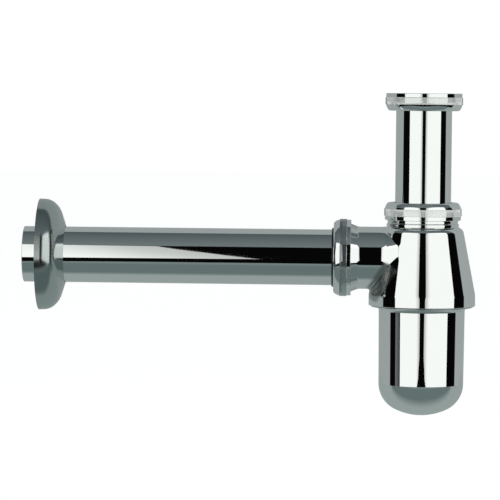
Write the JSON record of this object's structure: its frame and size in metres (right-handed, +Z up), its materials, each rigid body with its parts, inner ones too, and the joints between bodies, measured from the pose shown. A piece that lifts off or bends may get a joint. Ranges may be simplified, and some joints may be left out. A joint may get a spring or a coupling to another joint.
{
  "type": "bottle trap",
  "caption": "Chrome bottle trap for a washbasin: screwed cup under a bell with a side branch, knurled union nuts, dip tube, wall tube and domed wall flange.",
  "frame": {"origin": "centre of the inlet union nut's mouth, on the axis of the inlet tube", "axes": "+Z up along the inlet tube, out of the nut's mouth; the wall tube leaves along -X"},
  "size_m": [0.2598, 0.064, 0.1848],
  "materials": {
    "chrome_plate": "bright chrome plate, polished, with knurled bands on the union nuts",
    "seal_rubber": "black sealing rubber, matt",
    "ring_plastic": "black moulded plastic, satin"
  },
  "bodies": {
    "trap_body": {"trap_body": "chrome_plate", "neck_seal": "seal_rubber", "outlet_seal": "seal_rubber"},
    "inlet_tube": {"inlet_tube": "chrome_plate", "inlet_washer": "seal_rubber"},
    "inlet_nut": {"inlet_nut": "chrome_plate"},
    "neck_slip_ring": {"neck_slip_ring": "ring_plastic"},
    "neck_nut": {"neck_nut": "chrome_plate"},
    "outlet_slip_ring": {"outlet_slip_ring": "ring_plastic"},
    "outlet_nut": {"outlet_nut": "chrome_plate"},
    "outlet_tube": {"outlet_tube": "chrome_plate"},
    "wall_rosette": {"wall_rosette": "chrome_plate"},
    "cup_gasket": {"cup_gasket": "seal_rubber"},
    "cup": {"cup": "chrome_plate"}
  },
  "joints": [
    {"name": "inlet_height", "type": "slide", "parent": "trap_body", "child": "inlet_tube", "axis": [0, 0, 1], "range_m": [-0.012, 0.03]},
    {"name": "inlet_nut_turn", "type": "hinge", "parent": "inlet_tube", "child": "inlet_nut", "pos_m": [0, 0, -0.005], "axis": [0, 0, 1], "continuous": true},
    {"name": "neck_ring_travel", "type": "slide", "parent": "trap_body", "child": "neck_slip_ring", "axis": [0, 0, 1], "range_m": [0, 0.00693]},
    {"name": "neck_nut_turn", "type": "hinge", "parent": "neck_slip_ring", "child": "neck_nut", "pos_m": [0, 0, -0.0675], "axis": [0, 0, 1], "range_deg": [0, 1080]},
    {"name": "outlet_ring_travel", "type": "slide", "parent": "trap_body", "child": "outlet_slip_ring", "axis": [-1, 0, 0], "range_m": [0, 0.00693]},
    {"name": "outlet_nut_turn", "type": "hinge", "parent": "outlet_slip_ring", "child": "outlet_nut", "pos_m": [-0.046, 0, -0.0946], "axis": [-1, 0, 0], "range_deg": [0, 1080]},
    {"name": "outlet_tube_slide", "type": "slide", "parent": "trap_body", "child": "outlet_tube", "axis": [-1, 0, 0], "range_m": [-0.004, 0.012]},
    {"name": "rosette_slide", "type": "slide", "parent": "outlet_tube", "child": "wall_rosette", "axis": [1, 0, 0], "range_m": [-0.008, 0.13]},
    {"name": "cup_gasket_travel", "type": "slide", "parent": "trap_body", "child": "cup_gasket", "axis": [0, 0, -1], "range_m": [0, 0.008]},
    {"name": "cup_turn", "type": "hinge", "parent": "cup_gasket", "child": "cup", "pos_m": [0, 0, -0.118], "axis": [0, 0, -1], "range_deg": [0, 1440]}
  ],
  "couplings": [
    {"joint": "neck_ring_travel", "follows": "neck_nut_turn", "m_per_rad": 0.00036749},
    {"joint": "outlet_ring_travel", "follows": "outlet_nut_turn", "m_per_rad": 0.00036749},
    {"joint": "cup_gasket_travel", "follows": "cup_turn", "m_per_rad": 0.00031831}
  ]
}
